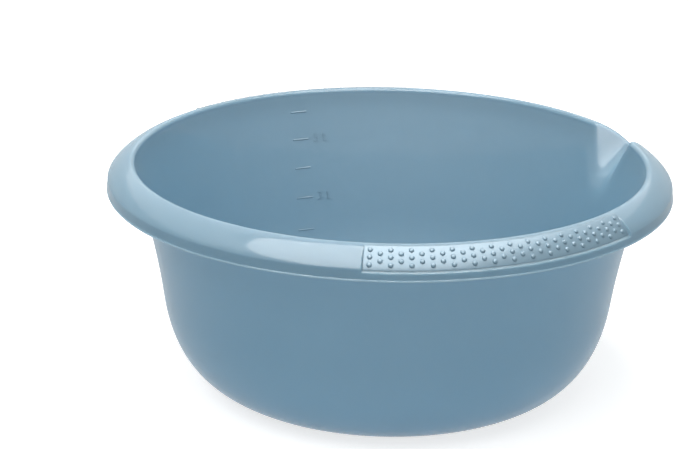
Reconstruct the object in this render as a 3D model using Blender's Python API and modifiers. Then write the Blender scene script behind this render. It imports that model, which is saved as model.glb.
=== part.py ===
"""Round plastic basin with a rolled rim, a pouring spout and two studded grip strips.

The base stands on z = 0 with its centre at the origin. The spout points along +X and
the grips lie at -Y and +Y. Lengths are in metres, and a section is an array of
(radius, height) points.
"""

import math

import bmesh
import bpy
import numpy as np
from mathutils import Matrix, Vector

# The bowl, whose wall leans out from the knee to the crown of the rim
RIM_RADIUS = 0.1600
BASIN_HEIGHT = 0.1322
WALL = 0.0020
LEAN_OUT = 0.0176
KNEE_HEIGHT = 0.0536
KNEE_DRAFT = math.radians(7.6)
KNEE_REACH = 0.0327
BASE_RADIUS = 0.0781
BASE_REACH = 0.0310
FOOT_WIDTH = 0.0055
FOOT_RISE = 0.0015

# The rolled rim. A fullness of 2 is a quarter ellipse and 1 a straight slope.
FLANGE_REACH = 0.0137
FLANGE_DROP = 0.0136
FLANGE_FULLNESS = 1.71
CROWN_ROUND = 0.0026
CROWN_RADIUS = RIM_RADIUS - FLANGE_REACH
KNEE_RADIUS = CROWN_RADIUS - LEAN_OUT

# The pouring spout: a V with a round bottom that rises outwards through the rim
SPOUT_DEPTH = 0.0300
SPOUT_RISE = math.radians(41.1)
SPOUT_FLANK = math.radians(30.7)
SPOUT_BOTTOM_ROUND = 0.0060

# The grip strips and the pockets that they sit in
GRIP_HALF_ANGLE = math.radians(28.9)
GRIP_TOP_OUT = 0.0020
GRIP_TOP_DROP = 0.0004
GRIP_LEDGE_IN = 0.0019
GRIP_LEDGE_DROP = 0.0112
GRIP_FACE_RADIUS = 0.0250
GRIP_THICKNESS = 0.0012
SEAT_CLEARANCE = 0.0003

# The studs: columns of three and of two in turn, as many as fit, with three in each end column
STUD_RADIUS = 0.0013
STUD_HEIGHT = 0.0011
STUD_SINK = 0.0002
STUD_COLUMN_PITCH = 0.00525
STUD_ROW_PITCH = 0.00415
STUD_MIDDLE_ROW_DOWN = 0.00675
STUD_END_MARGIN = 0.0030

# How finely the round shapes are cut into flats, and how far a cut runs past its work
AROUND = 72
WALL_STEPS = 4
TURN_STEPS = 7
FLANGE_STEPS = 6
ROUND_STEPS = 3
FACE_STEPS = 4
STUD_SIDES = 6
STUD_RINGS = 4
MERGE_DISTANCE = 0.00001
OVERRUN = 0.0100

PLASTIC_COLOUR = (0.165, 0.290, 0.385, 1.0)
GLOSSY_ROUGHNESS = 0.22
SATIN_ROUGHNESS = 0.38


def clear_scene():
    """Remove every object that the file opened with."""
    for obj in list(bpy.data.objects):
        bpy.data.objects.remove(obj)


def make_collection(name):
    """Return a new collection linked to the scene."""
    collection = bpy.data.collections.new(name)
    bpy.context.scene.collection.children.link(collection)
    return collection


def make_plastic(name, roughness):
    """Return the blue moulded plastic with the given roughness."""
    material = bpy.data.materials.new(name)
    material.use_nodes = True
    material.diffuse_color = PLASTIC_COLOUR
    shader = material.node_tree.nodes["Principled BSDF"]
    shader.inputs["Base Color"].default_value = PLASTIC_COLOUR
    shader.inputs["Roughness"].default_value = roughness
    shader.inputs["Metallic"].default_value = 0.0
    return material


def place_mesh(mesh, name, collection):
    """Return a new object that holds the mesh. Those among the cutters are hidden guides."""
    obj = bpy.data.objects.new(name, mesh)
    collection.objects.link(obj)
    if collection.name == "cutters":
        obj.hide_render = True
        obj.display_type = "WIRE"
    return obj


def add_boolean(obj, other, operation):
    """Add an exact Boolean of the given operation with another object."""
    modifier = obj.modifiers.new(operation.lower() + "_" + other.name, "BOOLEAN")
    modifier.operation = operation
    modifier.object = other
    modifier.solver = "EXACT"


def finish_part(obj, material):
    """Give a part its material and smooth shading."""
    obj.data.materials.append(material)
    obj.data.shade_smooth()


def moved_left(section, distance):
    """Move an open section sideways, to the left of its direction of travel."""
    steps = np.diff(section, axis=0)
    steps = steps / np.linalg.norm(steps, axis=1)[:, None]
    normals = np.column_stack([-steps[:, 1], steps[:, 0]])
    before = np.vstack([normals[:1], normals])
    after = np.vstack([normals, normals[-1:]])
    mitres = before + after
    mitres = mitres / (mitres * before).sum(axis=1)[:, None]
    return section + distance * mitres


def arc(centre, radius, start, end, steps):
    """Points on an arc about a centre, from the start angle to the end angle."""
    angles = np.linspace(start, end, steps + 1)
    return np.column_stack([centre[0] + radius * np.cos(angles), centre[1] + radius * np.sin(angles)])


def outer_wall():
    """The bowl's outside, from under the crown down to the foot and in to the axis.

    The wall's draft grows with height from the knee up, and below the knee a cubic
    curve turns it in to lie flat on the foot.
    """
    top_radius = CROWN_RADIUS - CROWN_ROUND + WALL
    rise = BASIN_HEIGHT - CROWN_ROUND - KNEE_HEIGHT
    flare = (top_radius - KNEE_RADIUS - rise * math.tan(KNEE_DRAFT)) / rise**2
    above = np.linspace(rise, 0, WALL_STEPS + 1)
    radius = KNEE_RADIUS + above * math.tan(KNEE_DRAFT) + flare * above**2
    wall = np.column_stack([radius, KNEE_HEIGHT + above])
    knee = wall[-1]
    knee_handle = knee - KNEE_REACH * np.array([math.sin(KNEE_DRAFT), math.cos(KNEE_DRAFT)])
    base = np.array([BASE_RADIUS, 0])
    base_handle = np.array([BASE_RADIUS + BASE_REACH, 0])
    share = np.linspace(0, 1, TURN_STEPS + 1)[1:, None]
    rest = 1 - share
    near_knee = rest**3 * knee + 3 * rest**2 * share * knee_handle
    near_base = share**3 * base + 3 * share**2 * rest * base_handle
    foot_in = BASE_RADIUS - FOOT_WIDTH
    foot = [(foot_in, 0), (foot_in - FOOT_RISE, FOOT_RISE), (0, FOOT_RISE)]
    return np.vstack([wall, near_knee + near_base, foot])


def inner_wall():
    """The bowl's inside, one wall in from its outside, from the floor's middle up to the crown."""
    inside = moved_left(outer_wall(), -WALL)
    inside[0] = (CROWN_RADIUS - CROWN_ROUND, BASIN_HEIGHT - CROWN_ROUND)
    inside[-1] = (0, FOOT_RISE + WALL)
    return inside[::-1]


def flange():
    """The rolled rim's outside, a superellipse from the crown out to where it hangs straight."""
    turn = np.linspace(0, math.pi / 2, FLANGE_STEPS + 1)
    out = np.sin(turn) ** (2 / FLANGE_FULLNESS)
    down = 1 - np.clip(np.cos(turn), 0, 1) ** (2 / FLANGE_FULLNESS)
    return np.column_stack([CROWN_RADIUS + FLANGE_REACH * out, BASIN_HEIGHT - FLANGE_DROP * down])


def crown():
    """The rounding between the inner wall and the top of the rim, without its two ends."""
    centre = (CROWN_RADIUS, BASIN_HEIGHT - CROWN_ROUND)
    return arc(centre, CROWN_ROUND, math.pi, math.pi / 2, ROUND_STEPS)[1:-1]


def basin_section():
    """The closed section of the whole moulding, which runs down its outer side."""
    hem_centre = (RIM_RADIUS - WALL / 2, BASIN_HEIGHT - FLANGE_DROP)
    hem = arc(hem_centre, WALL / 2, 0, -math.pi, ROUND_STEPS + 1)[1:-1]
    underside = moved_left(flange(), -WALL)
    underside[0] = (CROWN_RADIUS, BASIN_HEIGHT - WALL)
    underside[-1] = (RIM_RADIUS - WALL, BASIN_HEIGHT - FLANGE_DROP)
    return np.vstack([inner_wall(), crown(), flange(), hem, underside[::-1], outer_wall()])


def rim_core_section():
    """The hollow under the rim, out to the middle of the walls round it, where ribs may lie."""
    inside = inner_wall()
    lowest = BASIN_HEIGHT - SPOUT_DEPTH - OVERRUN
    first = (np.interp(lowest, inside[:, 1], inside[:, 0]), lowest)
    skin = np.vstack([first, inside[inside[:, 1] > lowest], crown(), flange()])
    return moved_left(skin, -WALL / 2)


def turned(name, section, collection, closed):
    """Turn a section once round the Z axis with a Screw modifier."""
    points = [(radius, 0, height) for radius, height in section]
    edges = [(i, i + 1) for i in range(len(points) - 1)]
    if closed:
        edges.append((len(points) - 1, 0))
    mesh = bpy.data.meshes.new(name)
    mesh.from_pydata(points, edges, [])
    obj = place_mesh(mesh, name, collection)
    screw = obj.modifiers.new("turn", "SCREW")
    screw.axis = "Z"
    screw.angle = 2 * math.pi
    screw.steps = AROUND
    screw.render_steps = AROUND
    screw.use_smooth_shade = True
    screw.use_merge_vertices = True
    screw.merge_threshold = MERGE_DISTANCE
    return obj


def swept(name, section, middle, half_angle, collection):
    """Sweep a closed section round the Z axis, the half angle each way, and cap both ends."""
    bm = bmesh.new()
    start = Matrix.Rotation(middle - half_angle, 4, "Z")
    ring = [bm.verts.new(start @ Vector((radius, 0, height))) for radius, height in section]
    edges = [bm.edges.new((ring[i - 1], ring[i])) for i in range(len(ring))]
    bmesh.ops.spin(
        bm,
        geom=ring + edges,
        axis=(0, 0, 1),
        cent=(0, 0, 0),
        angle=2 * half_angle,
        steps=math.ceil(half_angle * AROUND / math.pi),
    )
    bmesh.ops.holes_fill(bm, edges=[edge for edge in bm.edges if edge.is_boundary])
    bmesh.ops.recalc_face_normals(bm, faces=bm.faces)
    mesh = bpy.data.meshes.new(name)
    bm.to_mesh(mesh)
    bm.free()
    return place_mesh(mesh, name, collection)


def prism(name, outline, half_length, matrix, collection):
    """Extrude a flat outline both ways along its local Z and place it with the matrix."""
    curve = bpy.data.curves.new(name, "CURVE")
    curve.dimensions = "2D"
    curve.fill_mode = "BOTH"
    curve.extrude = half_length
    spline = curve.splines.new("POLY")
    spline.points.add(len(outline) - 1)
    for point, (across, up) in zip(spline.points, outline):
        point.co = (across, up, 0, 1)
    spline.use_cyclic_u = True
    source = bpy.data.objects.new(name + "_outline", curve)
    collection.objects.link(source)
    bpy.context.view_layer.update()
    mesh = bpy.data.meshes.new_from_object(source.evaluated_get(bpy.context.evaluated_depsgraph_get()))
    bpy.data.objects.remove(source)
    bm = bmesh.new()
    bm.from_mesh(mesh)
    bmesh.ops.remove_doubles(bm, verts=bm.verts, dist=MERGE_DISTANCE)
    bmesh.ops.recalc_face_normals(bm, faces=bm.faces)
    bm.to_mesh(mesh)
    bm.free()
    obj = place_mesh(mesh, name, collection)
    obj.matrix_world = matrix
    return obj


def spout_foot():
    """The point on the inner wall where the spout's lowest line starts."""
    height = BASIN_HEIGHT - SPOUT_DEPTH
    wall = inner_wall()
    return Vector((np.interp(height, wall[:, 1], wall[:, 0]), 0, height))


def spout_prism(name, below, collection):
    """The spout's rounded V, moved down by a depth, as a prism that is open to the sky.

    Its section stands square to the lowest line: a round bottom between two flanks.
    """
    bottom = SPOUT_BOTTOM_ROUND + below
    down = -math.pi / 2
    trough = arc((0, SPOUT_BOTTOM_ROUND), bottom, down - SPOUT_FLANK, down + SPOUT_FLANK, 2 * ROUND_STEPS)
    top = SPOUT_DEPTH + OVERRUN
    side = trough[-1, 0] + (top - trough[-1, 1]) / math.tan(SPOUT_FLANK)
    outline = np.vstack([(-side, top), trough, (side, top)])
    along = Vector((math.cos(SPOUT_RISE), 0, math.sin(SPOUT_RISE)))
    across = Vector((0, 1, 0))
    up = along.cross(across)
    turn = Matrix((across, up, along)).transposed().to_4x4()
    reach = (RIM_RADIUS - spout_foot().x) / math.cos(SPOUT_RISE) + 2 * OVERRUN
    middle = spout_foot() + along * (reach / 2 - OVERRUN)
    return prism(name, outline, reach / 2, Matrix.Translation(middle) @ turn, collection)


def grip_arc():
    """The centre of the strip's curved face and the angles of its top and lower edges."""
    top = np.array([CROWN_RADIUS + GRIP_TOP_OUT, BASIN_HEIGHT - GRIP_TOP_DROP])
    ledge = np.array([RIM_RADIUS - GRIP_LEDGE_IN, BASIN_HEIGHT - GRIP_LEDGE_DROP])
    chord = ledge - top
    half_chord = np.linalg.norm(chord) / 2
    inward = np.array([chord[1], -chord[0]]) / (2 * half_chord)
    centre = (top + ledge) / 2 + inward * math.sqrt(GRIP_FACE_RADIUS**2 - half_chord**2)
    angles = [math.atan2(point[1] - centre[1], point[0] - centre[0]) for point in (top, ledge)]
    return centre, angles[0], angles[1]


def grip_section(inward, outward, widened):
    """A band along the strip's face, from a depth under it to a height over it.

    Its two edges lie past those of the face by the widened length.
    """
    centre, top, ledge = grip_arc()
    more = widened / GRIP_FACE_RADIUS
    outside = arc(centre, GRIP_FACE_RADIUS + outward, top + more, ledge - more, FACE_STEPS)
    inside = arc(centre, GRIP_FACE_RADIUS - inward, top + more, ledge - more, FACE_STEPS)
    return np.vstack([outside, inside[::-1]])


def stud_seat(down):
    """The radius, height and tilt of a stud's centre, given how far down the face it lies."""
    centre, top, _ = grip_arc()
    angle = top - down / GRIP_FACE_RADIUS
    reach = GRIP_FACE_RADIUS - STUD_SINK
    return centre[0] + reach * math.cos(angle), centre[1] + reach * math.sin(angle), math.pi / 2 - angle


def grip_studs(name, middle, collection):
    """All the studs of one strip as flattened balls that sit a little way in its face."""
    middle_radius = stud_seat(STUD_MIDDLE_ROW_DOWN)[0]
    column_angle = STUD_COLUMN_PITCH / middle_radius
    columns = math.floor((GRIP_HALF_ANGLE * middle_radius - STUD_END_MARGIN) / STUD_COLUMN_PITCH)
    bm = bmesh.new()
    for column in range(-columns, columns + 1):
        rows = (-1, 0, 1) if (column + columns) % 2 == 0 else (-1 / 2, 1 / 2)
        for row in rows:
            radius, height, tilt = stud_seat(STUD_MIDDLE_ROW_DOWN + row * STUD_ROW_PITCH)
            matrix = (
                Matrix.Rotation(middle + column * column_angle, 4, "Z")
                @ Matrix.Translation((radius, 0, height))
                @ Matrix.Rotation(tilt, 4, "Y")
                @ Matrix.Diagonal((1, 1, (STUD_HEIGHT + STUD_SINK) / STUD_RADIUS, 1))
            )
            bmesh.ops.create_uvsphere(
                bm, u_segments=STUD_SIDES, v_segments=STUD_RINGS, radius=STUD_RADIUS, matrix=matrix
            )
    mesh = bpy.data.meshes.new(name)
    bm.to_mesh(mesh)
    bm.free()
    return place_mesh(mesh, name, collection)


def build_grip_pad(side, middle, parts, cutters, material):
    """One strip: a curved band with its studs, clear of its pocket all round."""
    section = grip_section(GRIP_THICKNESS, 0, -SEAT_CLEARANCE)
    half_angle = GRIP_HALF_ANGLE - SEAT_CLEARANCE / CROWN_RADIUS
    pad = swept("grip_pad_" + side, section, middle, half_angle, parts)
    add_boolean(pad, grip_studs("studs_" + side, middle, cutters), "UNION")
    finish_part(pad, material)
    return pad


def add_grip_pocket(basin, core, side, middle, cutters):
    """Back the rim with a wall under the strip and cut the pocket that the strip sits in."""
    depth = GRIP_THICKNESS + SEAT_CLEARANCE
    wider = GRIP_HALF_ANGLE + WALL / CROWN_RADIUS
    backing = swept("backing_" + side, grip_section(depth + WALL, 0, WALL), middle, wider, cutters)
    add_boolean(backing, core, "INTERSECT")
    add_boolean(basin, backing, "UNION")
    pocket = swept("pocket_" + side, grip_section(depth, OVERRUN, 0), middle, GRIP_HALF_ANGLE, cutters)
    add_boolean(basin, pocket, "DIFFERENCE")


def add_spout(basin, core, cutters):
    """Fill under the rim with the spout's outer V and cut the channel out of it."""
    body = spout_prism("spout_body", WALL, cutters)
    add_boolean(body, core, "INTERSECT")
    add_boolean(basin, body, "UNION")
    add_boolean(basin, spout_prism("spout_channel", 0, cutters), "DIFFERENCE")


def main():
    """Build the basin and its two grip strips."""
    clear_scene()
    parts = make_collection("plastic_basin")
    cutters = make_collection("cutters")
    glossy = make_plastic("glossy_plastic", GLOSSY_ROUGHNESS)
    satin = make_plastic("satin_grip_plastic", SATIN_ROUGHNESS)
    basin = turned("basin", basin_section(), parts, closed=False)
    core = turned("rim_core", rim_core_section(), cutters, closed=True)
    add_spout(basin, core, cutters)
    for side, middle in (("front", -math.pi / 2), ("back", math.pi / 2)):
        add_grip_pocket(basin, core, side, middle, cutters)
        build_grip_pad(side, middle, parts, cutters, satin)
    finish_part(basin, glossy)


main()
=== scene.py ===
"""Looks of a round plastic basin: its moulding, grip strips and litre marks, and the studio.

Every shape is a surface on a grid of points, worked out with numpy in the frame of the
solids: +Z up, the spout along +X, the grips at -Y and +Y, lengths in metres. A section is
an array of (radius, height) points in the half plane beside the Z axis.
"""

from __future__ import annotations

import logging
import math
from dataclasses import dataclass
from enum import Enum

import bpy
import numpy as np
from mathutils import Matrix, Vector


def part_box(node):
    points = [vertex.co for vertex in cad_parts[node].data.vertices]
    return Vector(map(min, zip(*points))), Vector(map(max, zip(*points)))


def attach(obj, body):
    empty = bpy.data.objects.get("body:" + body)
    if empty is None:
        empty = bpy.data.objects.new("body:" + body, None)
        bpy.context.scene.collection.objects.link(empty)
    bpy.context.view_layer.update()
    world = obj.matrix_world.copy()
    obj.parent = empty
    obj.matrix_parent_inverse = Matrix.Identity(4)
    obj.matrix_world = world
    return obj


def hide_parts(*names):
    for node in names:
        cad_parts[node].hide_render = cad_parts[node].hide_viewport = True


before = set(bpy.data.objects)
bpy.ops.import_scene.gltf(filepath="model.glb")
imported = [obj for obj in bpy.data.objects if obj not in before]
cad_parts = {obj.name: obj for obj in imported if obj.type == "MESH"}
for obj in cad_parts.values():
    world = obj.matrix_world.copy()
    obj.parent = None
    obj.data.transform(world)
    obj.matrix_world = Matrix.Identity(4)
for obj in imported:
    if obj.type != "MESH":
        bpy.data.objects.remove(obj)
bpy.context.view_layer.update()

LOG = logging.getLogger("plastic_basin")
ROOT_BODY = "root"
IMAGE_WIDTH = 688
SENSOR_WIDTH = 36.0
QUARTER_TURN = math.pi / 2
WHITE = (1.0, 1.0, 1.0, 1.0)


class Slot(Enum):
    """The record's material slots."""

    BASIN = "basin_plastic"
    GRIP = "grip_plastic"


class GripSide(Enum):
    """Where each grip strip lies, as the azimuth of its middle in degrees."""

    FRONT = -90.0
    BACK = 90.0

    @property
    def label(self) -> str:
        """The side's name in lower case, as the nodes spell it."""
        return self.name.lower()


def smooth_step(share: np.ndarray) -> np.ndarray:
    """Ease from 0 to 1: three times the square less twice the cube of the clipped share."""
    clipped = np.clip(share, 0.0, 1.0)
    return clipped * clipped * (3.0 - 2.0 * clipped)


def soft_minimum(first: np.ndarray, second: np.ndarray, reach: np.ndarray) -> np.ndarray:
    """The lesser of two fields, less a cubic of how nearly they are equal.

    Args:
        first: One field.
        second: The other field, of a shape that fits the first.
        reach: The difference past which the fields no longer mix.

    Returns:
        The mixed field.
    """
    closeness = np.maximum(reach - np.abs(first - second), 0.0) / reach
    return np.minimum(first, second) - reach * closeness**3 / 6.0


def moved_left(section: np.ndarray, distance: float | np.ndarray) -> np.ndarray:
    """Move an open section sideways by mitred normals, to the left of its direction of travel.

    Args:
        section: Points of the section, in order.
        distance: How far to move each point.

    Returns:
        The moved points.
    """
    steps = np.diff(section, axis=0)
    steps = steps / np.linalg.norm(steps, axis=1)[:, None]
    normals = np.column_stack([-steps[:, 1], steps[:, 0]])
    before = np.vstack([normals[:1], normals])
    after = np.vstack([normals, normals[-1:]])
    mitres = before + after
    mitres = mitres / (mitres * before).sum(axis=1)[:, None]
    return section + np.reshape(distance, (-1, 1)) * mitres


def arc(centre: tuple[float, float], radius: float, start: float, end: float, steps: int) -> np.ndarray:
    """Points on a circle about the centre, at equal steps of angle.

    Args:
        centre: The circle's centre.
        radius: Its radius.
        start: The first point's angle.
        end: The last point's angle.
        steps: The number of steps between them.

    Returns:
        The points, one more than the steps.
    """
    angles = np.linspace(start, end, steps + 1)
    return np.column_stack([centre[0] + radius * np.cos(angles), centre[1] + radius * np.sin(angles)])


def bezier(points: list[np.ndarray], steps: int) -> np.ndarray:
    """A Bezier curve of any degree by Bernstein's sum of binomial weights.

    Args:
        points: Its control points.
        steps: The number of equal steps of its parameter.

    Returns:
        The points on the curve, its ends among them.
    """
    share = np.linspace(0.0, 1.0, steps + 1)[:, None]
    degree = len(points) - 1
    weights = [math.comb(degree, k) * share**k * (1.0 - share) ** (degree - k) for k in range(degree + 1)]
    return sum(weight * point for weight, point in zip(weights, points))


def lengths_along(section: np.ndarray) -> np.ndarray:
    """Length along a section from its first point to each of its points."""
    return np.concatenate([[0.0], np.cumsum(np.linalg.norm(np.diff(section, axis=0), axis=1))])


def read_off(section: np.ndarray, measure: np.ndarray, values: np.ndarray) -> np.ndarray:
    """Points of a section, by linear steps, where a measure of its own points has some values."""
    return np.column_stack([np.interp(values, measure, section[:, k]) for k in range(2)])


def resampled(section: np.ndarray, shares: np.ndarray) -> np.ndarray:
    """Points of a section at the given shares of its length, by linear steps between its own."""
    lengths = lengths_along(section)
    return read_off(section, lengths, shares * lengths[-1])


def distance_to_section(points: np.ndarray, section: np.ndarray) -> np.ndarray:
    """Least distance to the segments of a section, by projecting each point onto each segment.

    Args:
        points: Flat points, of shape (..., 2).
        section: The section's points, in order.

    Returns:
        The distances, of shape (...).
    """
    starts, steps = section[:-1], np.diff(section, axis=0)
    offsets = points[..., None, :] - starts
    share = np.clip((offsets * steps).sum(axis=-1) / (steps**2).sum(axis=1), 0.0, 1.0)
    return np.linalg.norm(offsets - share[..., None] * steps, axis=-1).min(axis=-1)


def repeated(section: np.ndarray, columns: int) -> np.ndarray:
    """The same section in every column, of shape (rows, columns, 2)."""
    return np.repeat(section[:, None, :], columns, axis=1)


def around_axis(radius: np.ndarray, height: np.ndarray, azimuth: np.ndarray) -> np.ndarray:
    """Points round the Z axis: x and y are the radius times the azimuth's cosine and sine."""
    return np.stack([radius * np.cos(azimuth), radius * np.sin(azimuth), height], axis=-1)


def turned(section: np.ndarray, azimuths: np.ndarray) -> np.ndarray:
    """Turn a section round the Z axis, with one column of points at each azimuth.

    Args:
        section: Points of shape (rows, 2), or (rows, columns, 2) where they change on the way.
        azimuths: The angle of each column, in radians.

    Returns:
        Points of shape (rows, columns, 3).
    """
    if section.ndim == 2:
        section = repeated(section, len(azimuths))
    return around_axis(section[..., 0], section[..., 1], azimuths)


def grid_quads(rows: int, columns: int, first: int = 0, wrapped: bool = False) -> np.ndarray:
    """Corner numbers of the quads on a grid, row by row, facing the cross of rows with columns.

    Args:
        rows: Rows of points.
        columns: Columns of points.
        first: The number of the grid's first point.
        wrapped: Whether the last column joins the first.

    Returns:
        An array of shape (quads, 4).
    """
    index = first + np.arange(rows * columns).reshape(rows, columns)
    if wrapped:
        index = np.hstack([index, index[:, :1]])
    corners = [index[:-1, :-1], index[1:, :-1], index[1:, 1:], index[:-1, 1:]]
    return np.stack(corners, axis=-1).reshape(-1, 4)


def closed_slab(top: np.ndarray, bottom: np.ndarray) -> tuple[np.ndarray, np.ndarray]:
    """Join two grids of the same shape into a closed body, with a strip of quads at each edge.

    Args:
        top: The outward grid, of shape (rows, columns, 3).
        bottom: The inward grid, point for point under the top.

    Returns:
        The points and the quads.
    """
    rows, columns = top.shape[:2]
    count = rows * columns
    index = np.arange(count).reshape(rows, columns)
    border = np.concatenate([index[0, :-1], index[:-1, -1], index[-1, :0:-1], index[:0:-1, 0]])
    after = np.roll(border, -1)
    sides = np.column_stack([border, after, after + count, border + count])
    quads = np.vstack([grid_quads(rows, columns), grid_quads(rows, columns, count)[:, ::-1], sides])
    return np.vstack([top.reshape(-1, 3), bottom.reshape(-1, 3)]), quads


def fan(hub: int, ring: np.ndarray) -> np.ndarray:
    """Triangles from a hub to each side of a closed ring, given as corner numbers."""
    return np.column_stack([np.full(len(ring), hub), ring, np.roll(ring, -1)])


def linked_object(name: str, data: bpy.types.ID) -> bpy.types.Object:
    """Make an object of some data and link it to the scene.

    Args:
        name: The object's name.
        data: Its mesh, curve, lamp or camera.

    Returns:
        The object, at the origin.
    """
    obj = bpy.data.objects.new(name, data)
    bpy.context.scene.collection.objects.link(obj)
    return obj


def mesh_object(
    name: str, points: np.ndarray, faces: list[list[int]], sharp_angle: float = 30.0
) -> bpy.types.Object:
    """Make an object of points and faces, smooth but for edges past an angle.

    Args:
        name: The object's name.
        points: Its points, in place.
        faces: Corner numbers of each face.
        sharp_angle: The angle in degrees past which an edge is shaded sharp.

    Returns:
        The object, at the origin, linked to the scene.
    """
    mesh = bpy.data.meshes.new(name)
    mesh.from_pydata(points.reshape(-1, 3).tolist(), [], faces)
    mesh.validate()
    mesh.shade_smooth()
    mesh.set_sharp_from_angle(angle=math.radians(sharp_angle))
    return linked_object(name, mesh)


def fit_to_body(obj: bpy.types.Object, slot: Slot, material: bpy.types.Material, *nodes: str) -> None:
    """Dress a piece, put it on the root body and let it stand for the nodes it replaces.

    Args:
        obj: The piece.
        slot: The record's slot for its material; not used.
        material: What it is made of.
        nodes: Names of the solids that it replaces.
    """
    obj.data.materials.clear()
    obj.data.materials.append(material)
    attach(obj, ROOT_BODY)
    if nodes:
        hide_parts(*nodes)
    LOG.info("%s: %d faces", obj.name, len(obj.data.polygons))


def node_material(name: str) -> tuple[bpy.types.Material, bpy.types.Nodes, bpy.types.NodeLinks]:
    """Make a material that has nodes.

    Args:
        name: The material's name.

    Returns:
        The material, its nodes and its links.
    """
    material = bpy.data.materials.new(name)
    material.use_nodes = True
    return material, material.node_tree.nodes, material.node_tree.links


def set_inputs(node: bpy.types.Node, **values: float | tuple[float, ...]) -> None:
    """Set a node's inputs, each named with underscores for its spaces."""
    for name, value in values.items():
        node.inputs[name.replace("_", " ")].default_value = value


def ray_is(tree: bpy.types.NodeTree, *kinds: str) -> bpy.types.NodeSocket:
    """A value that is 1 for some kinds of ray and 0 for all others.

    Args:
        tree: The node tree to add it to.
        kinds: The Light Path outputs that count.

    Returns:
        The socket that gives it.
    """
    path = tree.nodes.new("ShaderNodeLightPath")
    value = path.outputs[kinds[0]]
    for kind in kinds[1:]:
        either = tree.nodes.new("ShaderNodeMath")
        either.operation = "MAXIMUM"
        tree.links.new(value, either.inputs[0])
        tree.links.new(path.outputs[kind], either.inputs[1])
        value = either.outputs["Value"]
    return value


@dataclass(frozen=True)
class MouldedPlastic:
    """A coloured moulded plastic: a little uneven in tone and gloss, with a fine skin.

    The tone and the roughness drift with slow noise, and a fine noise bends the normal, all
    on Object coordinates.
    """

    name: str
    colour: tuple[float, float, float]
    roughness: float
    specular: float
    coat: float
    coat_roughness: float
    tone_drift: float = 0.025
    roughness_drift: float = 0.03
    skin_scale: float = 450.0
    skin_depth: float = 0.000004
    drift_scale: float = 9.0
    drift_detail: float = 3.0
    skin_detail: float = 2.0
    refraction: float = 1.49
    scatter: float = 1.0
    scatter_depth: float = 0.014
    scatter_shares: tuple[float, float, float] = (0.8, 0.9, 1.0)

    def material(self) -> bpy.types.Material:
        """Build the material's nodes.

        Returns:
            The material.
        """
        material, nodes, links = node_material(self.name)
        shader = nodes["Principled BSDF"]
        place = nodes.new("ShaderNodeTexCoord")
        set_inputs(
            shader,
            IOR=self.refraction,
            Specular_IOR_Level=self.specular,
            Coat_Weight=self.coat,
            Coat_Roughness=self.coat_roughness,
            Coat_IOR=self.refraction,
            Subsurface_Weight=self.scatter,
            Subsurface_Radius=self.scatter_shares,
            Subsurface_Scale=self.scatter_depth,
        )

        def noise(scale: float, detail: float) -> bpy.types.NodeSocket:
            """Add a noise on Object coordinates.

            Args:
                scale: The noise's scale.
                detail: Its detail.

            Returns:
                The socket that gives its value.
            """
            texture = nodes.new("ShaderNodeTexNoise")
            set_inputs(texture, Scale=scale, Detail=detail)
            links.new(place.outputs["Object"], texture.inputs["Vector"])
            return texture.outputs["Fac"]

        drift = noise(self.drift_scale, self.drift_detail)
        tone = nodes.new("ShaderNodeMix")
        tone.data_type = "RGBA"
        for end, share in (("A", 1.0 - self.tone_drift), ("B", 1.0 + self.tone_drift)):
            tone.inputs[end].default_value = (*[part * share for part in self.colour], 1.0)
        links.new(drift, tone.inputs["Factor"])
        links.new(tone.outputs["Result"], shader.inputs["Base Color"])
        gloss = nodes.new("ShaderNodeMapRange")
        low, high = self.roughness - self.roughness_drift, self.roughness + self.roughness_drift
        set_inputs(gloss, To_Min=low, To_Max=high)
        links.new(drift, gloss.inputs["Value"])
        links.new(gloss.outputs["Result"], shader.inputs["Roughness"])
        bump = nodes.new("ShaderNodeBump")
        set_inputs(bump, Distance=self.skin_depth)
        links.new(noise(self.skin_scale, self.skin_detail), bump.inputs["Height"])
        links.new(bump.outputs["Normal"], shader.inputs["Normal"])
        return material


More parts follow.
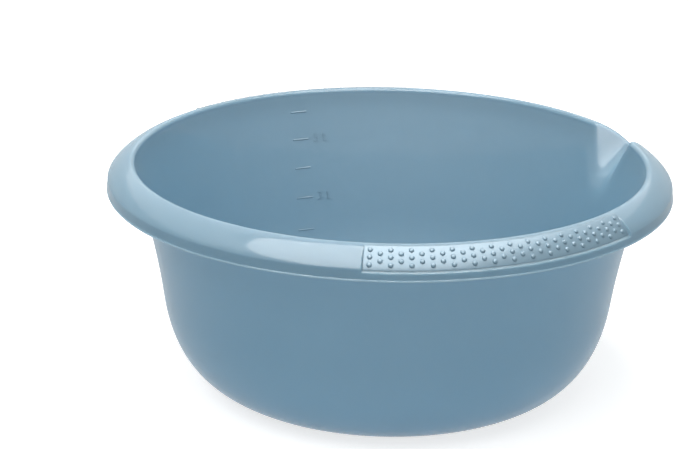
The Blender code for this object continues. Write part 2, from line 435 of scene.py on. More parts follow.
@dataclass(frozen=True)
class Bowl:
    """The section of the moulding: bowl, crown, flange, hem and foot.

    The bowl and the foot have the solids' sizes. The flange has a rounder shoulder than
    theirs, and under it a straight skirt with a bead at its hem.
    """

    rim_radius: float
    height: float
    wall: float = 0.0020
    lean_out: float = 0.0176
    knee_height: float = 0.0536
    knee_draft: float = math.radians(7.6)
    knee_reach: float = 0.0327
    base_radius: float = 0.0781
    base_reach: float = 0.0310
    foot_width: float = 0.0055
    foot_rise: float = 0.0015
    flange_reach: float = 0.0137
    flange_fullness: float = 1.32
    inner_shoulder: float = 0.3  # share of the wall by which the skirt starts lower inside
    skirt_in: float = 0.0008
    skirt_flare: float = 0.0003
    skirt_top: float = 0.0097
    skirt_drop: float = 0.0147
    bead_round: float = 0.0006
    bead_in: float = 0.0002
    hem_round: float = 0.0006
    crown_round: float = 0.0026
    gate_radius: float = 0.0040
    gate_depth: float = 0.0004
    arc_steps: int = 8
    corner_steps: int = 3
    ring_points: int = 4
    foot_points: int = 6
    read_steps: int = 60
    flange_read_steps: int = 400
    under_read_steps: int = 240

    @classmethod
    def from_frame(cls) -> Bowl:
        """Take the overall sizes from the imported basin."""
        low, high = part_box("basin")
        return cls(rim_radius=(high.x - low.x) / 2.0, height=high.z - low.z)

    @property
    def crown_radius(self) -> float:
        """Radius of the highest ring of the rim."""
        return self.rim_radius - self.flange_reach

    @property
    def knee(self) -> np.ndarray:
        """The point of the outer wall where the turn to the base starts."""
        return np.array([self.crown_radius - self.lean_out, self.knee_height])

    def upper_wall(self, heights: np.ndarray) -> np.ndarray:
        """The outer wall above the knee, whose draft grows in line with the height.

        Args:
            heights: Where to find it.

        Returns:
            A point at each height.
        """
        top_radius = self.crown_radius - self.crown_round + self.wall
        rise = self.height - self.crown_round - self.knee_height
        draft = math.tan(self.knee_draft)
        flare = (top_radius - self.knee[0] - rise * draft) / rise**2
        above = heights - self.knee_height
        return np.column_stack([self.knee[0] + above * draft + flare * above**2, heights])

    def lower_turn(self, steps: int) -> np.ndarray:
        """The outer wall from the knee in to the foot, a cubic Bezier curve.

        Args:
            steps: The number of equal steps of its parameter.

        Returns:
            The points, from the knee down.
        """
        along = np.array([math.sin(self.knee_draft), math.cos(self.knee_draft)])
        base = np.array([self.base_radius, 0.0])
        handles = [self.knee - self.knee_reach * along, base + np.array([self.base_reach, 0.0])]
        return bezier([self.knee, *handles, base], steps)

    def outer_wall(self, top: float, wall_steps: int, turn_steps: int) -> np.ndarray:
        """The outside from a height down to the outer edge of the foot."""
        upper = self.upper_wall(np.linspace(top, self.knee_height, wall_steps + 1))
        return np.vstack([upper, self.lower_turn(turn_steps)[1:]])

    def inner_wall(self, top: float, wall_steps: int, turn_steps: int) -> np.ndarray:
        """The inside, one wall in from the outside, from the floor's edge up to a height."""
        return moved_left(self.outer_wall(top, wall_steps, turn_steps), -self.wall)[::-1]

    def close_inside(self) -> np.ndarray:
        """The whole inner wall at close steps, to read values off."""
        return self.inner_wall(self.height - self.crown_round, self.read_steps, self.read_steps)

    def inner_radius(self, height: float) -> float:
        """Radius of the inner wall at a height."""
        inside = self.close_inside()
        return float(np.interp(height, inside[:, 1], inside[:, 0]))

    def floor(self) -> np.ndarray:
        """The inside floor from its middle out, with an eased step down over the foot.

        Returns:
            The points, short of the foot's outer edge.
        """
        middle = self.foot_rise + self.wall
        flat_end = self.base_radius - self.foot_width - self.foot_rise
        flat = np.linspace(0.0, flat_end, self.arc_steps)
        step = np.linspace(flat_end, self.base_radius, self.arc_steps + 1)[1:-1]
        down = self.foot_rise * smooth_step((step - flat_end) / (self.base_radius - flat_end))
        heights = np.concatenate([np.full(len(flat), middle), middle - down])
        return np.column_stack([np.concatenate([flat, step]), heights])

    def crown(self) -> np.ndarray:
        """The arc from the inner wall to the top of the rim."""
        centre = (self.crown_radius, self.height - self.crown_round)
        return arc(centre, self.crown_round, math.pi, QUARTER_TURN, self.arc_steps)

    @property
    def skirt_foot(self) -> float:
        """Radius of the skirt where it meets the bead at its hem."""
        return self.rim_radius - self.skirt_in + self.skirt_flare

    def rolled(self, inset: float, shoulder: float, drop: float, steps: int) -> np.ndarray:
        """The flange from the crown over its shoulder and straight down its skirt.

        As far as the shoulder, radius and height run with the sine and cosine of a quarter
        turn, each raised to two over the fullness.

        Args:
            inset: How far the curve lies under the flange's outside.
            shoulder: How far under the top of the rim the skirt starts.
            drop: How far under the top of the rim the skirt ends.
            steps: The number of steps over the shoulder.

        Returns:
            The points, from the crown down.
        """
        turn = np.linspace(0.0, QUARTER_TURN, steps + 1)
        power = 2.0 / self.flange_fullness
        reach = self.rim_radius - self.skirt_in - inset - self.crown_radius
        out = reach * np.sin(turn) ** power
        down = (shoulder - inset) * (1.0 - np.clip(np.cos(turn), 0.0, 1.0) ** power)
        curve = np.column_stack([self.crown_radius + out, self.height - inset - down])
        share = np.linspace(0.0, 1.0, self.arc_steps + 1)[1:, None]
        end = np.array([self.skirt_foot - inset, self.height - drop])
        return np.vstack([curve, curve[-1] + share * (end - curve[-1])])

    def close_flange(self) -> np.ndarray:
        """The flange's outside down to the bead, at close steps, to read values off."""
        return self.rolled(0.0, self.skirt_top, self.skirt_drop, self.flange_read_steps)

    def hem(self) -> np.ndarray:
        """The round bead at the foot of the skirt and the rounded corner inside it.

        Returns:
            The points, from the skirt's outside round to its inside.
        """
        radius = self.rim_radius - self.bead_in - self.bead_round
        start = math.acos((self.skirt_foot - radius) / self.bead_round)
        middle = self.height - self.skirt_drop - self.bead_round * math.sin(start)
        bead = arc((radius, middle), self.bead_round, start, -QUARTER_TURN, self.arc_steps)
        corner = (self.skirt_foot - self.wall + self.hem_round, bead[-1, 1] + self.hem_round)
        return np.vstack([bead, arc(corner, self.hem_round, -QUARTER_TURN, -math.pi, self.corner_steps)])

    def underside(self, steps: int) -> np.ndarray:
        """The flange's inside from the hem back up to under the crown.

        Args:
            steps: The number of steps along it.

        Returns:
            The points, evenly spaced.
        """
        shoulder = self.skirt_top + self.wall * self.inner_shoulder
        drop = self.height - self.hem()[-1, 1]
        inside = self.rolled(self.wall, shoulder, drop, self.under_read_steps)
        return resampled(inside, np.linspace(0.0, 1.0, steps + 1))[::-1]

    def foot(self) -> np.ndarray:
        """The foot ring, the raised base inside it and the shallow gate dimple at its middle.

        Returns:
            The points, from the ring's outer edge in.
        """
        ring_in = self.base_radius - self.foot_width
        flat = np.linspace(self.base_radius, ring_in, self.ring_points)[1:]
        rise = np.linspace(ring_in, ring_in - self.foot_rise, self.foot_points)[1:]
        lift = self.foot_rise * smooth_step((ring_in - rise) / self.foot_rise)
        base = np.linspace(ring_in - self.foot_rise, self.gate_radius, self.foot_points)[1:]
        dimple = np.linspace(self.gate_radius, 0.0, self.foot_points)[1:]
        dish = self.gate_depth * smooth_step((self.gate_radius - dimple) / (self.gate_radius / 2.0))
        radii = np.concatenate([flat, rise, base, dimple])
        heights = [np.zeros(len(flat)), lift, np.full(len(base), self.foot_rise), self.foot_rise + dish]
        return np.column_stack([radii, np.concatenate(heights)])


@dataclass(frozen=True)
class Spout:
    """The pouring spout: a V with a round bottom that rises outwards through the rim.

    Each point of the turned skin near the spout slides towards a hub inside the rim, in its
    own upright plane, to where a mixed field is zero. The field is the soft minimum of the
    depth under the turned skin and the depth under the channel.
    """

    bowl: Bowl
    depth: float = 0.0325
    rise: float = math.radians(45.0)
    flank: float = math.radians(50.0)
    bottom_round: float = 0.0130
    wall_blend: float = 0.0085
    rim_blend: float = 0.0045
    blend_width: float = 0.0100
    hub_radius: float = 0.1520
    hub_height: float = 0.1040
    half_angle: float = math.radians(17.0)
    halvings: int = 24

    def channel_depth(self, points: np.ndarray) -> np.ndarray:
        """How far points lie under the channel's surface, negative within the channel.

        Under the round bottom it is the distance to the V's centre line less the radius, and
        beside it the distance to the flank's plane.

        Args:
            points: Points of shape (..., 3).

        Returns:
            The depths, of shape (...).
        """
        foot_height = self.bowl.height - self.depth
        foot_radius = self.bowl.inner_radius(foot_height)
        up = (points[..., 2] - foot_height) * math.cos(self.rise)
        up = up - (points[..., 0] - foot_radius) * math.sin(self.rise)
        across = np.abs(points[..., 1])
        below = self.bottom_round - up
        to_flank = across * math.sin(self.flank) + below * math.cos(self.flank)
        to_centre = np.hypot(across, below)
        under_round = (below > 0.0) & (across <= below * math.tan(self.flank))
        return np.where(under_round, to_centre, to_flank) - self.bottom_round

    def slide(self, section: np.ndarray, azimuths: np.ndarray, lowered: float) -> np.ndarray:
        """Slide turned points towards the hub to the zero of the mixed field, by halving steps.

        Args:
            section: The section that they are turned from, one point for each row.
            azimuths: The angle of each column.
            lowered: How far the channel is lowered for these rows.

        Returns:
            The moved points, of shape (rows, columns, 3).
        """
        hub = np.array([self.hub_radius, self.hub_height])
        rays = section - hub
        lengths = np.linalg.norm(rays, axis=1)[:, None]
        rays = rays / lengths
        high = np.repeat(lengths, len(azimuths), axis=1)
        low = np.zeros_like(high)
        for _ in range(self.halvings):
            middle = (low + high) / 2.0
            flat = hub + middle[..., None] * rays[:, None, :]
            skin = distance_to_section(flat, section)
            inward = smooth_step((self.bowl.crown_radius - flat[..., 0]) / self.blend_width)
            reach = self.rim_blend + (self.wall_blend - self.rim_blend) * inward
            channel = self.channel_depth(turned(flat, azimuths)) - lowered
            inside = soft_minimum(skin, channel, reach) > 0.0
            low, high = np.where(inside, middle, low), np.where(inside, high, middle)
        return turned(hub + high[..., None] * rays[:, None, :], azimuths)

    def press_into(
        self, grid: np.ndarray, section: np.ndarray, azimuths: np.ndarray, hem: slice
    ) -> np.ndarray:
        """Press the channel into a turned grid whose rows run over the rim and back under it.

        Args:
            grid: Points of shape (rows, columns, 3).
            section: The section at the spout, one point for each row.
            azimuths: The angle of each column.
            hem: The rows round the hem, which follow the rows on both sides of them.

        Returns:
            The moved grid.
        """
        near = np.abs(azimuths) < self.half_angle
        moved = grid.copy()
        skin, under = slice(0, hem.start), slice(hem.stop, len(grid))
        for rows, lowered in ((skin, 0.0), (under, self.bowl.wall)):
            moved[rows, near] = self.slide(section[rows], azimuths[near], lowered)
        shift = moved - grid
        share = np.linspace(0.0, 1.0, hem.stop - hem.start + 2)[1:-1, None, None]
        moved[hem] += shift[hem.start - 1] * (1.0 - share) + shift[hem.stop] * share
        return moved


@dataclass(frozen=True)
class GripField:
    """The recess for one grip strip in the flange: face, ledge, sloped ends and pocket."""

    bowl: Bowl
    half_angle: float = math.radians(28.9)
    top_out: float = 0.0020
    top_drop: float = 0.0004
    ledge_in: float = 0.0025
    ledge_drop: float = 0.0105
    ridge_drop: float = 0.0110
    ridge_round: float = 0.0006
    face_radius: float = 0.0250
    end_wall: float = 0.0008
    thickness: float = 0.0012
    seam: float = 0.00002
    face_steps: int = 24
    ledge_steps: int = 3
    ridge_steps: int = 4
    end_columns: int = 8
    read_steps: int = 200

    @property
    def inner_half_angle(self) -> float:
        """Half the angle of the face itself, inside the sloped end walls."""
        return self.half_angle - self.end_wall / self.bowl.rim_radius

    def face_arc(self) -> tuple[np.ndarray, float, float]:
        """Find the arc of the face through its two edges.

        Returns:
            The arc's centre and the angles of its top and lower edges.
        """
        bowl = self.bowl
        top = np.array([bowl.crown_radius + self.top_out, bowl.height - self.top_drop])
        ledge = np.array([bowl.rim_radius - self.ledge_in, bowl.height - self.ledge_drop])
        chord = ledge - top
        half_chord = float(np.linalg.norm(chord)) / 2.0
        inward = np.array([chord[1], -chord[0]]) / (2.0 * half_chord)
        centre = (top + ledge) / 2.0 + inward * math.sqrt(self.face_radius**2 - half_chord**2)
        angles = [math.atan2(point[1] - centre[1], point[0] - centre[0]) for point in (top, ledge)]
        return centre, angles[0], angles[1]

    def face(self, distances: np.ndarray, depth: float | np.ndarray) -> np.ndarray:
        """Points on the face's arc or under it.

        Args:
            distances: How far down the face from its top edge.
            depth: How far under the face.

        Returns:
            The points, of shape (..., 2).
        """
        centre, top, _ = self.face_arc()
        angles = top - distances / self.face_radius
        reach = self.face_radius - depth
        return np.stack([centre[0] + reach * np.cos(angles), centre[1] + reach * np.sin(angles)], axis=-1)

    def face_length(self) -> float:
        """Length of the face from its top edge to its lower edge."""
        _, top, ledge = self.face_arc()
        return self.face_radius * (top - ledge)

    def face_distances(self) -> np.ndarray:
        """Where the rows cross the face, with one close inside each edge."""
        length = self.face_length()
        inner = np.linspace(self.seam, length - self.seam, self.face_steps - 1)
        return np.concatenate([[0.0], inner, [length]])

    def ridge(self) -> np.ndarray:
        """The ledge's slope from the face's lower edge and its rounded outer ridge.

        Returns:
            The points, without the face's lower edge.
        """
        flange = self.bowl.close_flange()

        def on_flange(drop: float) -> np.ndarray:
            """The flange's point at a depth under the top of the rim."""
            radius = np.interp(drop, self.bowl.height - flange[:, 1], flange[:, 0])
            return np.array([radius, self.bowl.height - drop])

        corner = on_flange(self.ridge_drop)
        foot = self.face(np.array([self.face_length()]), 0.0)[0]
        towards = (foot - corner) / np.linalg.norm(foot - corner)
        start = corner + self.ridge_round * towards
        slope = np.linspace(0.0, 1.0, self.ledge_steps + 1)[1:, None] * (start - foot) + foot
        rounded = bezier([start, corner, on_flange(self.ridge_drop + self.ridge_round)], self.ridge_steps)
        return np.vstack([slope, rounded[1:]])

    def recess(self, pocket_depth: float) -> np.ndarray:
        """The recessed rows: the face, or the pocket's floor under it, and the ridge.

        Args:
            pocket_depth: The depth of the pocket's floor under the face.

        Returns:
            The points, from the face's top edge down.
        """
        depth = np.full(self.face_steps + 1, pocket_depth)
        depth[[0, -1]] = 0.0
        return np.vstack([self.face(self.face_distances(), depth), self.ridge()])

    def flange_rows(self) -> np.ndarray:
        """The flange's own rows beside the recess, spaced as the recessed rows are.

        Returns:
            The points, as many as the recess has.
        """
        recess, flange = self.recess(0.0), self.bowl.close_flange()
        index, height = np.arange(len(flange)), self.bowl.height
        first = np.interp(recess[0, 0], flange[:, 0], index)
        last = np.interp(height - recess[-1, 1], height - flange[:, 1], index)
        part = read_off(flange, index, np.linspace(first, last, self.read_steps))
        lengths = lengths_along(recess)
        return resampled(part, lengths / lengths[-1])

    def end_angles(self) -> np.ndarray:
        """Where columns cross one end of the field, on both sides of its seam and its end wall.

        Returns:
            The angles from the field's middle.
        """
        slope = np.linspace(self.inner_half_angle, self.half_angle, self.end_columns)
        pocket = self.inner_half_angle - self.seam / self.bowl.rim_radius
        step = slope[1] - slope[0]
        return np.concatenate([[pocket - step, pocket], slope, [2.0 * slope[-1] - slope[-2]]])

    def rows(self, azimuths: np.ndarray) -> np.ndarray:
        """The rows from the crown side to the ridge, at each azimuth, in both fields.

        A column's weight eases from the flange to the recess over the end wall, and past the
        seam the column drops to the pocket's floor.

        Args:
            azimuths: The angle of each column.

        Returns:
            The section at each azimuth, of shape (rows, columns, 2).
        """
        outside, face, pocket = self.flange_rows(), self.recess(0.0), self.recess(self.thickness)
        away = np.min([np.abs(azimuths - math.radians(side.value)) for side in GripSide], axis=0)
        inner = self.inner_half_angle
        weight = smooth_step((self.half_angle - away) / (self.half_angle - inner))[None, :, None]
        sunk = (away < inner - self.seam / self.bowl.rim_radius / 2.0)[None, :, None]
        recessed = np.where(sunk, pocket[:, None, :], face[:, None, :])
        return outside[:, None, :] * (1.0 - weight) + recessed * weight


@dataclass
class Basin:
    """The moulding in one closed skin: bowl, rim, spout, grip recesses and foot."""

    bowl: Bowl
    spout: Spout
    field: GripField
    finish: MouldedPlastic
    coarse_step: float = math.radians(1.5)
    fine_step: float = math.radians(0.4)
    pressed_from: float = 0.0880
    sharp_angle: float = 40.0
    lower_steps: int = 8
    turn_steps: int = 24
    inside_rows: int = 26
    outside_rows: int = 18
    crown_rows: int = 9
    crown_crowding: float = 1.5
    skirt_rows: int = 6
    under_steps: int = 20

    def azimuths(self) -> np.ndarray:
        """Columns round the bowl, closer through the spout and at the ends of the grips.

        Returns:
            The angle of each column, in rising order.
        """
        coarse = np.arange(-math.pi, math.pi - self.coarse_step / 2.0, self.coarse_step)
        half_count = round(self.spout.half_angle / self.fine_step)
        fine = np.arange(-half_count, half_count + 1) * self.fine_step
        ends = self.field.end_angles()
        middles = [math.radians(side.value) for side in GripSide]
        at_ends = [middle + sign * ends for middle in middles for sign in (-1.0, 1.0)]
        special = np.concatenate([fine, *at_ends])
        gap = np.abs(coarse[:, None] - special[None, :]).min(axis=1)
        return np.sort(np.concatenate([coarse[gap > self.coarse_step / 3.0], special]))

    def skin_rows(self, azimuths: np.ndarray) -> tuple[np.ndarray, slice]:
        """Every row of the skin from the floor's middle out, over the rim and back to the base.

        Args:
            azimuths: The angle of each column.

        Returns:
            The section at each azimuth, of shape (rows, columns, 2), and the rows of the hem.
        """
        bowl, columns = self.bowl, len(azimuths)
        top = bowl.height - bowl.crown_round
        lower = (self.pressed_from, self.lower_steps, self.turn_steps)
        inner_heights = np.linspace(top, self.pressed_from, self.inside_rows)
        above = moved_left(bowl.upper_wall(inner_heights), -bowl.wall)[::-1]
        above[-1] = bowl.crown()[0]
        flange = bowl.close_flange()
        first, last = self.field.flange_rows()[[0, -1]]
        before = flange[flange[:, 0] < first[0]]
        crowded = np.linspace(0.0, 1.0, self.crown_rows) ** self.crown_crowding
        after = flange[flange[:, 1] < last[1]]
        skirt = resampled(after, np.linspace(0.0, 1.0, self.skirt_rows))[1:]
        inside = [bowl.floor(), bowl.inner_wall(*lower)[:-1], above, bowl.crown()[1:]]
        inside.append(resampled(before, crowded)[1:-1])
        outside = [bowl.underside(self.under_steps)]
        outside.append(bowl.upper_wall(np.linspace(top, self.pressed_from, self.outside_rows)))
        outside += [bowl.outer_wall(*lower)[1:], bowl.foot()]
        skin = [repeated(np.vstack(inside), columns), self.field.rows(azimuths), repeated(skirt, columns)]
        hem = repeated(bowl.hem()[1:-1], columns)
        hem_start = sum(len(rows) for rows in skin)
        section = np.vstack([*skin, hem, repeated(np.vstack(outside), columns)])
        return section, slice(hem_start, hem_start + len(hem))

    def build(self) -> None:
        """Make the closed skin, with a single point at each end on the axis."""
        azimuths = self.azimuths()
        section, hem = self.skin_rows(azimuths)
        at_spout = section[:, np.abs(azimuths).argmin()]
        high = np.flatnonzero((at_spout[:, 1] > self.pressed_from) & (at_spout[:, 0] > self.bowl.knee[0]))
        pressed = slice(high[0], high[-1] + 1)
        local_hem = slice(hem.start - pressed.start, hem.stop - pressed.start)
        grid = turned(section, azimuths)
        grid[pressed] = self.spout.press_into(grid[pressed], at_spout[pressed], azimuths, local_hem)
        grid = grid[1:-1]
        rows, columns = grid.shape[:2]
        poles = [[0.0, 0.0, section[row, 0, 1]] for row in (0, -1)]
        ring, count = np.arange(columns), rows * columns
        fans = [fan(count, ring), fan(count + 1, count - columns + ring)[:, ::-1]]
        faces = grid_quads(rows, columns, wrapped=True).tolist() + np.vstack(fans).tolist()
        points = np.vstack([grid.reshape(-1, 3), poles])
        basin = mesh_object("basin_moulding", points, faces, self.sharp_angle)
        fit_to_body(basin, Slot.BASIN, self.finish.material(), "basin")


@dataclass(frozen=True)
class Stud:
    """One raised stud: a low dome on a small hollow fillet, sunk a little way in the face."""

    radius: float = 0.00125
    height: float = 0.00085
    fillet: float = 0.00020
    sink: float = 0.00030
    fillet_sink: float = 0.00006
    around: int = 16
    dome_steps: int = 7
    fillet_steps: int = 3

    def section(self) -> np.ndarray:
        """Radius and height from under the face up to near the top of the dome.

        Returns:
            The points, short of the axis at both ends.
        """
        foot = self.radius + self.fillet
        fillet = arc((foot, self.fillet), self.fillet, -QUARTER_TURN, -math.pi, self.fillet_steps)
        fillet[0, 1] = -self.fillet_sink
        turn = np.linspace(0.0, QUARTER_TURN, self.dome_steps + 1)[1:-1]
        heights = self.fillet + (self.height - self.fillet) * np.sin(turn)
        dome = np.column_stack([self.radius * np.cos(turn), heights])
        return np.vstack([[[foot, -self.sink]], fillet, dome])

    def bodies(
        self, seats: np.ndarray, across: np.ndarray, along: np.ndarray, out: np.ndarray
    ) -> tuple[np.ndarray, np.ndarray, np.ndarray]:
        """Every stud as a closed turned body, all at once.

        The sides face outwards. The fans at both ends, the small cap of the dome and the disc
        under the face, face inwards.

        Args:
            seats: Middle of each stud on the face, of shape (studs, 3).
            across: Unit vectors along the strip.
            along: Unit vectors down the face.
            out: Unit normals of the face.

        Returns:
            The points, the quads and the triangles.
        """
        section = self.section()
        rings, count = len(section), len(seats)
        angles = (np.arange(self.around) * 2.0 * math.pi / self.around)[None, :, None]
        spokes = np.cos(angles) * across[:, None, :] + np.sin(angles) * along[:, None, :]
        grid = seats[:, None, None, :] + section[None, :, None, :1] * spokes[:, None, :, :]
        grid = grid + section[None, :, None, 1:] * out[:, None, None, :]
        poles = np.stack([seats - self.sink * out, seats + self.height * out], axis=1)
        points = np.concatenate([grid.reshape(count, -1, 3), poles], axis=1)
        size = rings * self.around + 2
        ring = np.arange(self.around)
        quads = grid_quads(rings, self.around, wrapped=True)[:, ::-1]
        fans = np.vstack([fan(size - 2, ring), fan(size - 1, (rings - 1) * self.around + ring)[:, ::-1]])
        shift = (np.arange(count) * size)[:, None, None]
        return points.reshape(-1, 3), (quads + shift).reshape(-1, 4), (fans + shift).reshape(-1, 3)


@dataclass
class GripStrip:
    """A thin strip that fills one grip recess, with alternate columns of three and two studs."""

    field: GripField
    side: GripSide
    finish: bpy.types.Material
    stud: Stud = Stud()
    column_pitch: float = 0.00525
    row_pitch: float = 0.00415
    middle_row_down: float = 0.00675
    columns_each_way: int = 14
    edge_round: float = 0.00008
    sharp_angle: float = 60.0
    columns: int = 120
    face_rows: int = 18
    edge_rows: int = 4

    def slab(self) -> tuple[np.ndarray, np.ndarray]:
        """The strip itself, whose top drops in a quarter circle towards its four edges.

        Returns:
            The points and the quads.
        """
        length, seam = self.field.face_length(), 2.0 * self.field.seam
        radius = self.field.bowl.rim_radius
        half_angle = self.field.inner_half_angle - seam / radius
        fine = self.edge_round * (1.0 - np.cos(np.linspace(0.0, QUARTER_TURN, self.edge_rows)))
        low, high = seam, length - seam
        down = np.linspace(low, high, self.face_rows)[1:-1]
        down = np.concatenate([low + fine, down, high - fine[::-1]])
        ends = fine / radius
        coarse = np.linspace(-half_angle, half_angle, self.columns)[1:-1]
        angles = np.concatenate([-half_angle + ends, coarse, half_angle - ends[::-1]])
        from_end = (half_angle - np.abs(angles)) * radius
        from_edge = np.minimum(np.minimum(down - low, high - down)[:, None], from_end)
        inset = np.clip(self.edge_round - from_edge, 0.0, self.edge_round)
        drop = self.edge_round - np.sqrt(self.edge_round**2 - inset**2)
        azimuths = math.radians(self.side.value) + angles
        distances = np.repeat(down[:, None], len(angles), axis=1)
        top = turned(self.field.face(distances, drop), azimuths)
        bottom = turned(self.field.face(distances, self.field.thickness - seam), azimuths)
        return closed_slab(top, bottom)

    def stud_places(self) -> tuple[np.ndarray, np.ndarray]:
        """Where every stud stands: columns of three and of two by turns.

        Returns:
            Each stud's distance down the face and its angle from the field's middle.
        """
        middle_radius = self.field.face(np.array([self.middle_row_down]), 0.0)[0, 0]
        columns = np.arange(-self.columns_each_way, self.columns_each_way + 1)
        threes = (columns + self.columns_each_way) % 2 == 0
        rows = [np.tile([-1.0, 0.0, 1.0], threes.sum()), np.tile([-0.5, 0.5], (~threes).sum())]
        order = np.concatenate([np.repeat(columns[threes], 3), np.repeat(columns[~threes], 2)])
        down = self.middle_row_down + np.concatenate(rows) * self.row_pitch
        return down, order * self.column_pitch / middle_radius

    def build(self) -> None:
        """Make the strip and its studs as one piece."""
        points, quads = self.slab()
        down, angles = self.stud_places()
        azimuths = math.radians(self.side.value) + angles
        seats = around_axis(*self.field.face(down, 0.0).T, azimuths)
        raised = around_axis(*self.field.face(down, -self.stud.radius).T, azimuths)
        out = (raised - seats) / self.stud.radius
        across = np.column_stack([-np.sin(azimuths), np.cos(azimuths), np.zeros(len(azimuths))])
        stud_points, stud_quads, stud_fans = self.stud.bodies(seats, across, np.cross(out, across), out)
        count = len(points)
        faces = quads.tolist() + (stud_quads + count).tolist() + (stud_fans + count).tolist()
        name = f"grip_strip_{self.side.label}"
        strip = mesh_object(name, np.vstack([points, stud_points]), faces, self.sharp_angle)
        fit_to_body(strip, Slot.GRIP, self.finish, f"grip_pad_{self.side.label}")


@dataclass
class LitreScale:
    """Raised bars on the inner wall at whole litres, two of them with their number."""

    bowl: Bowl
    finish: bpy.types.Material
    azimuth: float = math.radians(90.2)
    bar_heights: tuple[float, ...] = (0.0468, 0.0670, 0.0856, 0.1032, 0.1198)
    bar_width: float = 0.0116
    bar_breadth: float = 0.0020
    raised: float = 0.00022
    sunk: float = 0.0004
    labels: tuple[tuple[str, int], ...] = (("3L", 1), ("5L", 3))
    label_size: float = 0.0078
    label_start: float = 0.0082
    label_raised: float = 0.00008
    label_bevel: float = 0.00002
    label_spacing: float = 1.5
    bar_columns: int = 49
    bar_rows: int = 13
    sharp_angle: float = 50.0

    def on_wall(self, right: np.ndarray, up: np.ndarray, out: np.ndarray, height: float) -> np.ndarray:
        """Wrap flat points onto the inner wall.

        Args:
            right: How far each point lies to the right along the wall.
            up: How far above the height.
            out: How far out of the wall, square to it.
            height: The height that the points lie about.

        Returns:
            The points in place.
        """
        heights = height + up
        inside = self.bowl.close_inside()
        radius = np.interp(heights, inside[:, 1], inside[:, 0])
        slope = np.gradient(inside[:, 0], inside[:, 1])
        lean = np.arctan(np.interp(heights, inside[:, 1], slope))
        azimuth = self.azimuth - right / radius
        return around_axis(radius - out * np.cos(lean), heights + out * np.sin(lean), azimuth)

    def bar(self, height: float) -> tuple[np.ndarray, list[list[int]]]:
        """One bar, whose height off the wall eases up from its four edges.

        Args:
            height: The height of its middle.

        Returns:
            The points and the faces.
        """
        half_width, half_breadth = self.bar_width / 2.0, self.bar_breadth / 2.0
        across = np.linspace(-half_width, half_width, self.bar_columns)
        right, up = np.meshgrid(across, np.linspace(half_breadth, -half_breadth, self.bar_rows))
        edge = np.minimum(half_width - np.abs(right), half_breadth - np.abs(up))
        out = -self.sunk / 2.0 + (self.raised + self.sunk / 2.0) * smooth_step(edge / half_breadth)
        top = self.on_wall(right, up, out, height)
        points, quads = closed_slab(top, self.on_wall(right, up, np.full_like(out, -self.sunk), height))
        return points, quads.tolist()

    def label(self, text: str, height: float) -> tuple[np.ndarray, list[list[int]]]:
        """One number and its unit, as thick letters wrapped onto the wall.

        Args:
            text: The number and its unit.
            height: The height of the bar beside it.

        Returns:
            The points and the faces.
        """
        curve = bpy.data.curves.new(f"label_{text}", "FONT")
        curve.body = text
        curve.size = self.label_size
        curve.align_y = "CENTER"
        curve.space_character = self.label_spacing
        curve.extrude = (self.label_raised + self.sunk) / 2.0
        curve.bevel_depth = self.label_bevel
        curve.bevel_resolution = 1
        source = linked_object(curve.name, curve)
        bpy.context.view_layer.update()
        finished = source.evaluated_get(bpy.context.evaluated_depsgraph_get())
        mesh = bpy.data.meshes.new_from_object(finished)
        bpy.data.objects.remove(source)
        flat = np.zeros(len(mesh.vertices) * 3)
        mesh.vertices.foreach_get("co", flat)
        right, up, out = flat.reshape(-1, 3).T
        out = out + (self.label_raised - self.sunk) / 2.0
        faces = [list(polygon.vertices) for polygon in mesh.polygons]
        return self.on_wall(right + self.label_start, up, out, height), faces

    def build(self) -> None:
        """Make all the bars and labels as one piece."""
        points, faces, count = [], [], 0
        parts = [self.bar(height) for height in self.bar_heights]
        parts += [self.label(text, self.bar_heights[index]) for text, index in self.labels]
        for part_points, part_faces in parts:
            faces += [[corner + count for corner in face] for face in part_faces]
            points.append(part_points)
            count += len(part_points)
        marks = mesh_object("litre_marks", np.vstack(points), faces, self.sharp_angle)
        fit_to_body(marks, Slot.BASIN, self.finish)


@dataclass(frozen=True)
class Viewpoint:
    """The photograph's camera, found from the outlines of the rim and the wall."""

    azimuth: float = math.radians(-24.1)
    distance: float = 1.1253
    height: float = 0.4842
    yaw: float = math.radians(-1.293)
    pitch: float = math.radians(19.268)
    roll: float = math.radians(0.863)
    focal_pixels: float = 2081.2
    clip: tuple[float, float] = (0.05, 50.0)

    def build(self) -> None:
        """Place the camera and make it the scene's own."""
        level = Vector((math.cos(self.yaw), -math.sin(self.yaw), 0.0))
        ahead = Vector((math.sin(self.yaw), math.cos(self.yaw), 0.0))
        forward = ahead * math.cos(self.pitch) - Vector((0.0, 0.0, math.sin(self.pitch)))
        upward = level.cross(forward)
        right = math.cos(self.roll) * level + math.sin(self.roll) * upward
        up = math.cos(self.roll) * upward - math.sin(self.roll) * level
        turn = Matrix((right, up, -forward)).transposed().to_4x4()
        place = Matrix.Translation((0.0, -self.distance, self.height))
        data = bpy.data.cameras.new("camera")
        data.sensor_width = SENSOR_WIDTH
        data.sensor_fit = "HORIZONTAL"
        data.lens = self.focal_pixels * SENSOR_WIDTH / IMAGE_WIDTH
        data.clip_start, data.clip_end = self.clip
        camera = linked_object("camera", data)
        camera.matrix_world = Matrix.Rotation(self.azimuth, 4, "Z") @ place @ turn
        bpy.context.scene.camera = camera


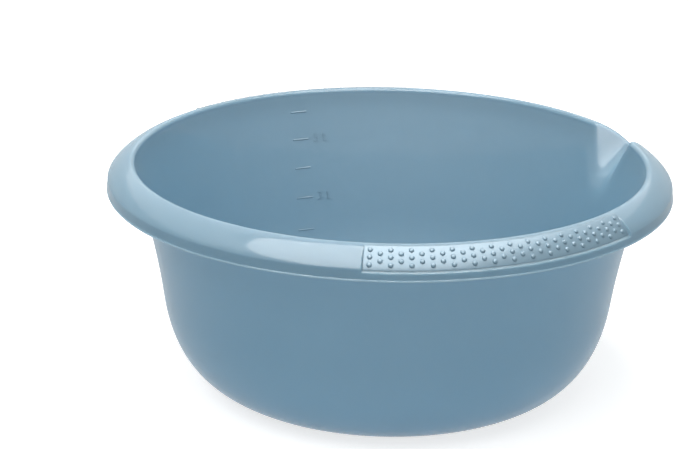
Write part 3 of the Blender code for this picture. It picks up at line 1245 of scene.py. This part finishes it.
@dataclass(frozen=True)
class Softbox:
    """A square lamp that reflections don't see. In the camera's frame x is right and y away."""

    name: str
    place: tuple[float, float, float]
    aim: tuple[float, float, float]
    width: float
    power: float

    def build(self, turn: float) -> None:
        """Put the lamp at its place, facing its aim.

        Args:
            turn: The camera's azimuth, in radians, with which the lamp turns about Z.
        """
        frame_turn = Matrix.Rotation(turn, 4, "Z")
        place, aim = frame_turn @ Vector(self.place), frame_turn @ Vector(self.aim)
        data = bpy.data.lights.new(self.name, "AREA")
        data.size, data.energy = self.width, self.power
        lamp = linked_object(self.name, data)
        facing = (place - aim).to_track_quat("Z", "Y").to_matrix().to_4x4()
        lamp.matrix_world = Matrix.Translation(place) @ facing
        lamp.visible_camera = lamp.visible_glossy = False


@dataclass(frozen=True)
class BrightCard:
    """A flat level card that only reflections see, with its corners in the camera's frame."""

    name: str
    corners: tuple[tuple[float, float], ...]
    brightness: float
    height: float = 2.125

    def build(self, turn: float) -> None:
        """Make the card and light it evenly.

        Args:
            turn: The camera's azimuth, in radians, with which the card turns about Z.
        """
        frame_turn = Matrix.Rotation(turn, 3, "Z")
        points = np.array([frame_turn @ Vector((*corner, self.height)) for corner in self.corners])
        card = mesh_object(self.name, points, [list(range(len(points)))])
        material, nodes, links = node_material(self.name)
        light = nodes.new("ShaderNodeEmission")
        set_inputs(light, Strength=self.brightness)
        links.new(light.outputs["Emission"], nodes["Material Output"].inputs["Surface"])
        card.data.materials.append(material)
        card.visible_camera = card.visible_diffuse = card.visible_shadow = False


@dataclass
class Studio:
    """A pale floor, a white surround, and soft lamps and cards at the photograph's angles."""

    view: Viewpoint
    lamps: tuple[Softbox | BrightCard, ...]
    floor_size: float = 30.0
    floor_gap: float = 0.0001
    floor_tone: float = 0.80
    floor_lift: float = 0.72
    floor_roughness: float = 0.9
    surround_strength: float = 0.37

    def build_floor(self) -> None:
        """A wide floor, lifted to white where the camera sees it lit, and white in reflections."""
        half = self.floor_size / 2.0
        corners = np.array([[-half, -half], [half, -half], [half, half], [-half, half]])
        points = np.column_stack([corners, np.full(4, -self.floor_gap)])
        floor = mesh_object("floor", points, [[0, 1, 2, 3]])
        material, nodes, links = node_material("pale_floor")
        shader = nodes["Principled BSDF"]
        set_inputs(shader, Base_Color=(self.floor_tone,) * 3 + (1.0,), Emission_Color=WHITE)
        set_inputs(shader, Roughness=self.floor_roughness, Specular_IOR_Level=0.0)
        lift = nodes.new("ShaderNodeMath")
        lift.operation = "MULTIPLY"
        lift.inputs[1].default_value = self.floor_lift
        links.new(ray_is(material.node_tree, "Is Camera Ray"), lift.inputs[0])
        links.new(lift.outputs["Value"], shader.inputs["Emission Strength"])
        white = nodes.new("ShaderNodeEmission")
        either = nodes.new("ShaderNodeMixShader")
        mirrored = ray_is(material.node_tree, "Is Glossy Ray", "Is Transmission Ray")
        links.new(mirrored, either.inputs["Fac"])
        links.new(shader.outputs["BSDF"], either.inputs[1])
        links.new(white.outputs["Emission"], either.inputs[2])
        links.new(either.outputs["Shader"], nodes["Material Output"].inputs["Surface"])
        floor.data.materials.append(material)

    def build_surround(self) -> None:
        """A world that is white to the camera and in reflections, and plain light otherwise."""
        world = bpy.data.worlds.new("surround")
        bpy.context.scene.world = world
        world.use_nodes = True
        nodes, links = world.node_tree.nodes, world.node_tree.links
        background = nodes["Background"]
        set_inputs(background, Color=WHITE)
        strength = nodes.new("ShaderNodeMapRange")
        set_inputs(strength, To_Min=self.surround_strength, To_Max=1.0)
        seen = ray_is(world.node_tree, "Is Camera Ray", "Is Glossy Ray", "Is Transmission Ray")
        links.new(seen, strength.inputs["Value"])
        links.new(strength.outputs["Result"], background.inputs["Strength"])

    def build(self) -> None:
        """Make the floor, the surround, the camera and every lamp."""
        self.build_floor()
        self.build_surround()
        self.view.build()
        for lamp in self.lamps:
            lamp.build(self.view.azimuth)
        bpy.context.scene.view_settings.view_transform = "Standard"


def main() -> None:
    """Build the basin, its strips and marks, and the studio, in that order."""
    logging.basicConfig(level=logging.INFO, format="%(message)s")
    colour = (0.152, 0.268, 0.350)
    glossy = MouldedPlastic(
        "glossy_basin_plastic", colour, roughness=0.60, specular=0.20, coat=0.44, coat_roughness=0.07
    )
    satin = MouldedPlastic(
        "satin_grip_plastic",
        colour,
        roughness=0.55,
        specular=0.32,
        coat=0.50,
        coat_roughness=0.26,
        skin_scale=1800.0,
        skin_depth=0.00001,
        scatter=0.15,
    )
    marking = MouldedPlastic(
        "litre_mark_plastic",
        colour,
        roughness=0.60,
        specular=0.25,
        coat=0.50,
        coat_roughness=0.08,
        scatter=0.0,
    )
    bowl = Bowl.from_frame()
    grip_field = GripField(bowl)
    Basin(bowl, Spout(bowl), grip_field, glossy).build()
    satin_material = satin.material()
    for grip_side in GripSide:
        GripStrip(grip_field, grip_side, satin_material).build()
    LitreScale(bowl, marking.material()).build()
    key = ((-1.75, -2.60), (1.40, -2.60), (1.40, 0.65), (-0.78, 0.65), (-1.30, 0.00), (-1.75, -0.80))
    back = ((-1.20, 0.70), (2.45, 0.70), (2.45, 6.00), (-1.20, 6.00))
    side = ((-3.25, -0.80), (-1.80, -0.80), (-1.35, 0.00), (-1.22, 0.70), (-1.22, 6.00), (-3.25, 6.00))
    lamps = (
        Softbox("top_light", (-0.35, -0.50, 1.50), (0.0, 0.0, 0.1), 1.7, 13.5),
        Softbox("ceiling_light", (0.0, 0.0, 2.00), (0.0, 0.0, 0.0), 0.9, 18.0),
        BrightCard("key_card", key, 12.0),
        BrightCard("back_card", back, 3.0),
        BrightCard("side_card", side, 2.6),
    )
    Studio(Viewpoint(), lamps).build()


if __name__ == "__main__":
    main()
